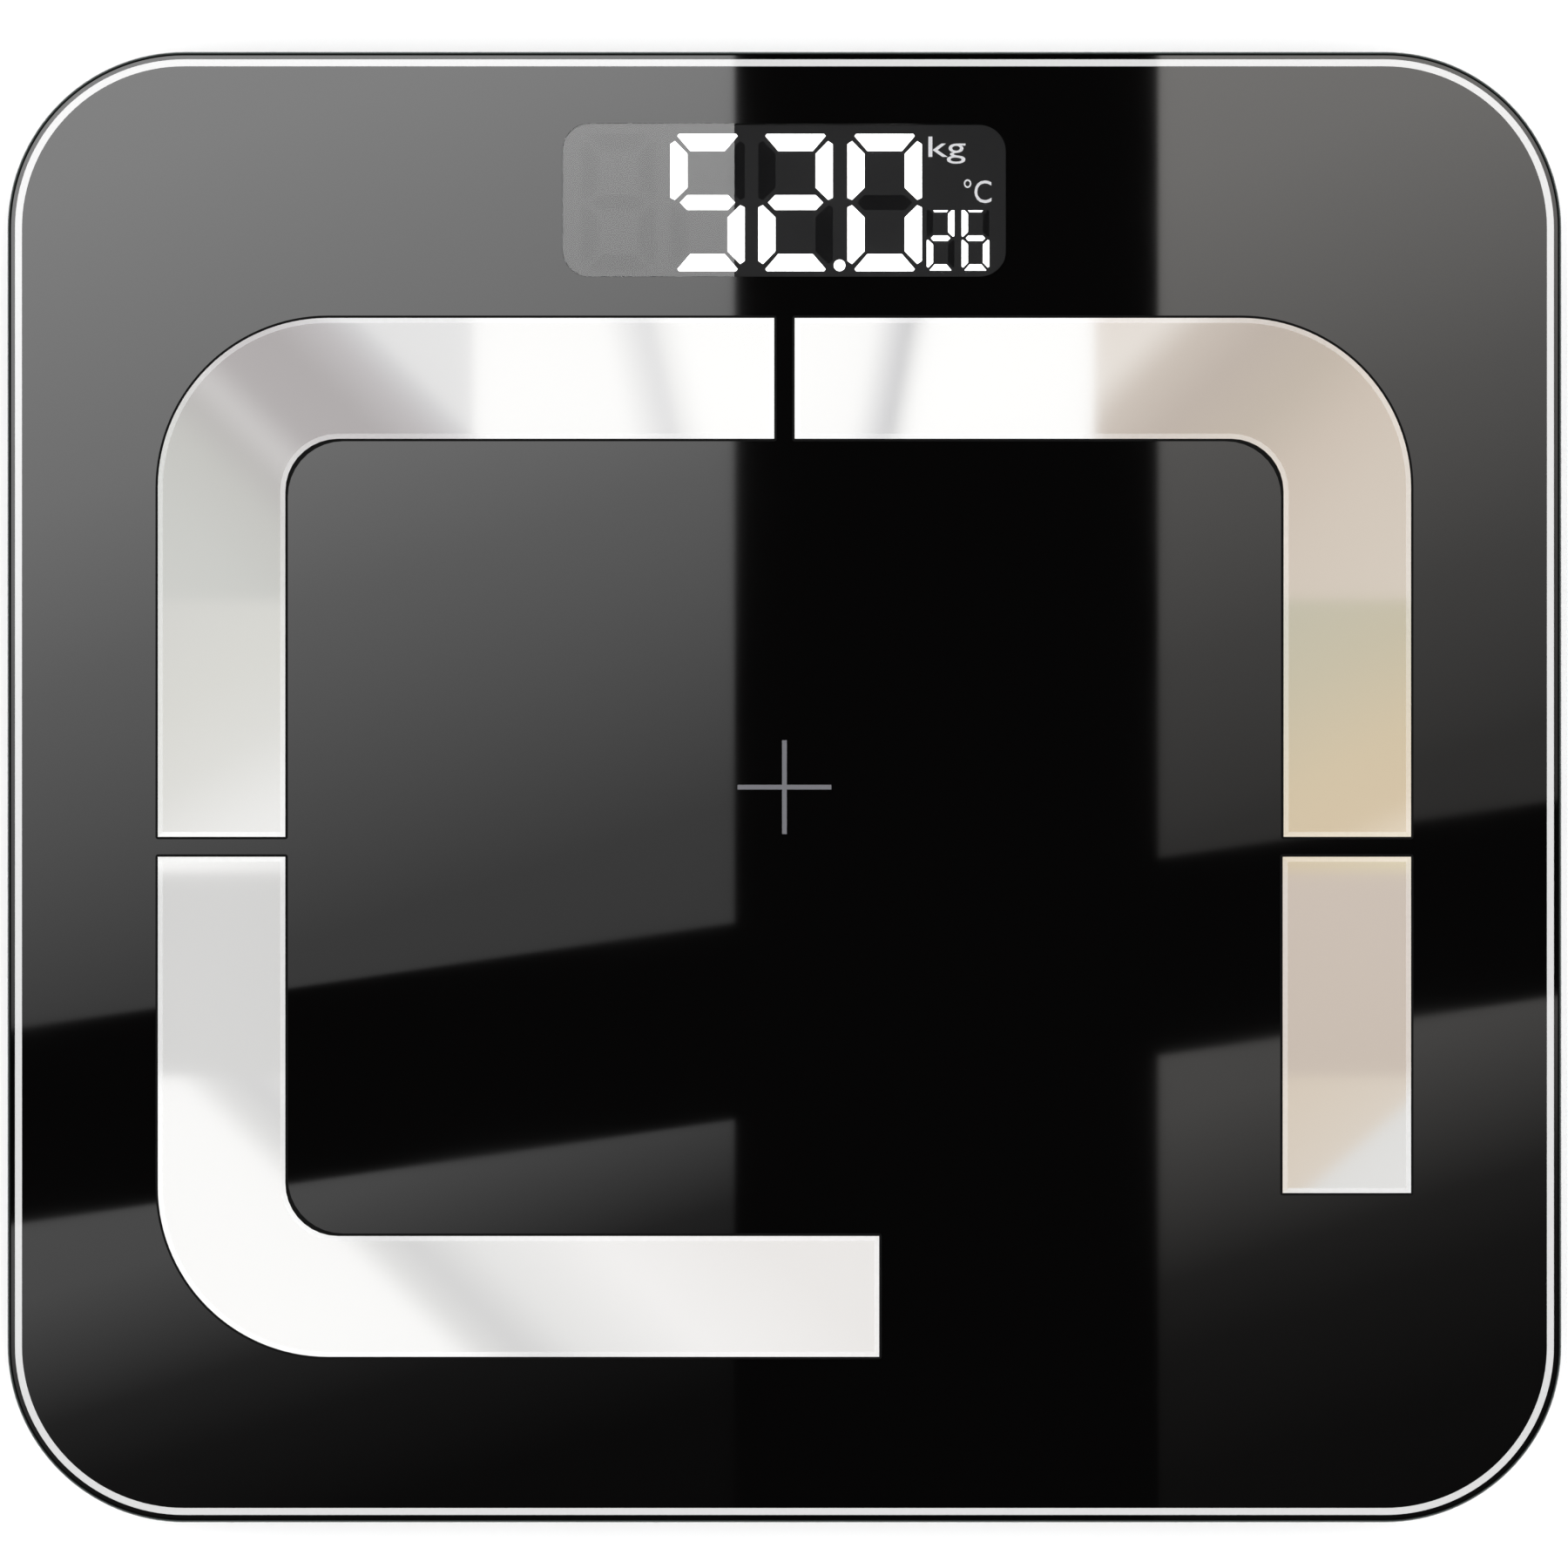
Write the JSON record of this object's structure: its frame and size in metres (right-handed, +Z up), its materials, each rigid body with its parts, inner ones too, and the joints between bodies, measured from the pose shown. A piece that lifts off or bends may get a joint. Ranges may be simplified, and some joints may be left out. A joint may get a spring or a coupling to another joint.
{
  "type": "bathroom scale",
  "caption": "Electronic bathroom scale: glass platform with steel electrode plates and a lit digital display, on a slim tray with sprung feet, a battery door and a unit button.",
  "frame": {"origin": "on the floor under the middle of the glass platform, at the undersides of the feet", "axes": "+Z up, +X along the longer side of the platform, +Y towards the display"},
  "size_m": [0.28, 0.265, 0.023],
  "materials": {
    "glass": "clear tempered glass with ground edges",
    "black_film": "black printed film seen through glass",
    "smoked_window": "smoked translucent window film",
    "stainless_steel": "satin stainless steel with a bright bevelled rim",
    "zinc_steel": "zinc-plated steel",
    "black_abs": "fine-textured black ABS",
    "foam_tape": "black foam tape",
    "white_plastic": "white moulded plastic",
    "grey_plastic": "dark grey plastic",
    "rubber": "matt rubber",
    "sealant": "soft white sealant",
    "lit_diffuser": "lit white diffuser",
    "dark_diffuser": "unlit diffuser",
    "circuit_board": "green solder mask",
    "chip": "black epoxy",
    "battery_wrap": "printed cell wrap",
    "lead_wire": "PVC wire"
  },
  "bodies": {
    "scale": {"glass_platform": "glass", "printed_film": "black_film", "window_tint": "smoked_window", "electrode_upper_left": "stainless_steel", "electrode_upper_right": "stainless_steel", "electrode_lower_left": "stainless_steel", "electrode_lower_right": "stainless_steel", "electrode_studs": "zinc_steel", "base_tray": "black_abs", "glass_tape": "foam_tape", "load_cell_rear_left": "zinc_steel", "strain_gauge_rear_left": "sealant", "load_cell_clamp_rear_left": "grey_plastic", "load_cell_rear_right": "zinc_steel", "strain_gauge_rear_right": "sealant", "load_cell_clamp_rear_right": "grey_plastic", "load_cell_front_left": "zinc_steel", "strain_gauge_front_left": "sealant", "load_cell_clamp_front_left": "grey_plastic", "load_cell_front_right": "zinc_steel", "strain_gauge_front_right": "sealant", "load_cell_clamp_front_right": "grey_plastic", "clamp_screws": "zinc_steel", "display_housing": "white_plastic", "display_mask": "chip", "display_segments_lit": "lit_diffuser", "display_segments_dark": "dark_diffuser", "display_gasket": "foam_tape", "main_board": "circuit_board", "board_screws": "zinc_steel", "controller_chip": "chip", "radio_module": "zinc_steel", "lead_connectors": "white_plastic", "switch_body": "chip", "battery_1": "battery_wrap", "battery_2": "battery_wrap", "battery_3": "battery_wrap", "battery_contacts": "zinc_steel", "battery_springs": "zinc_steel", "load_cell_lead_rear_left": "lead_wire", "load_cell_lead_rear_right": "lead_wire", "load_cell_lead_front_left": "lead_wire", "load_cell_lead_front_right": "lead_wire", "electrode_leads": "lead_wire", "battery_leads": "lead_wire"},
    "foot_rear_left": {"foot_button_rear_left": "grey_plastic", "foot_pad_rear_left": "rubber"},
    "foot_rear_right": {"foot_button_rear_right": "grey_plastic", "foot_pad_rear_right": "rubber"},
    "foot_front_left": {"foot_button_front_left": "grey_plastic", "foot_pad_front_left": "rubber"},
    "foot_front_right": {"foot_button_front_right": "grey_plastic", "foot_pad_front_right": "rubber"},
    "unit_button": {"unit_button": "grey_plastic", "switch_plunger": "white_plastic"},
    "battery_door": {"battery_door": "black_abs"}
  },
  "joints": [
    {"name": "foot_rear_left_travel", "type": "slide", "parent": "scale", "child": "foot_rear_left", "axis": [0, 0, 1], "range_m": [0, 0.0004], "stiffness_N_per_m": 2000, "springref_m": -0.005, "deforming": ["load_cell_rear_left", "strain_gauge_rear_left"]},
    {"name": "foot_rear_right_travel", "type": "slide", "parent": "scale", "child": "foot_rear_right", "axis": [0, 0, 1], "range_m": [0, 0.0004], "stiffness_N_per_m": 2000, "springref_m": -0.005, "deforming": ["load_cell_rear_right", "strain_gauge_rear_right"]},
    {"name": "foot_front_left_travel", "type": "slide", "parent": "scale", "child": "foot_front_left", "axis": [0, 0, 1], "range_m": [0, 0.0004], "stiffness_N_per_m": 2000, "springref_m": -0.005, "deforming": ["load_cell_front_left", "strain_gauge_front_left"]},
    {"name": "foot_front_right_travel", "type": "slide", "parent": "scale", "child": "foot_front_right", "axis": [0, 0, 1], "range_m": [0, 0.0004], "stiffness_N_per_m": 2000, "springref_m": -0.005, "deforming": ["load_cell_front_right", "strain_gauge_front_right"]},
    {"name": "unit_button_press", "type": "slide", "parent": "scale", "child": "unit_button", "axis": [0, 0, 1], "range_m": [0, 0.0003], "stiffness_N_per_m": 5000},
    {"name": "battery_door_hinge", "type": "hinge", "parent": "scale", "child": "battery_door", "pos_m": [0, 0.044, 0.0052], "axis": [1, 0, 0], "range_deg": [0, 95]}
  ]
}
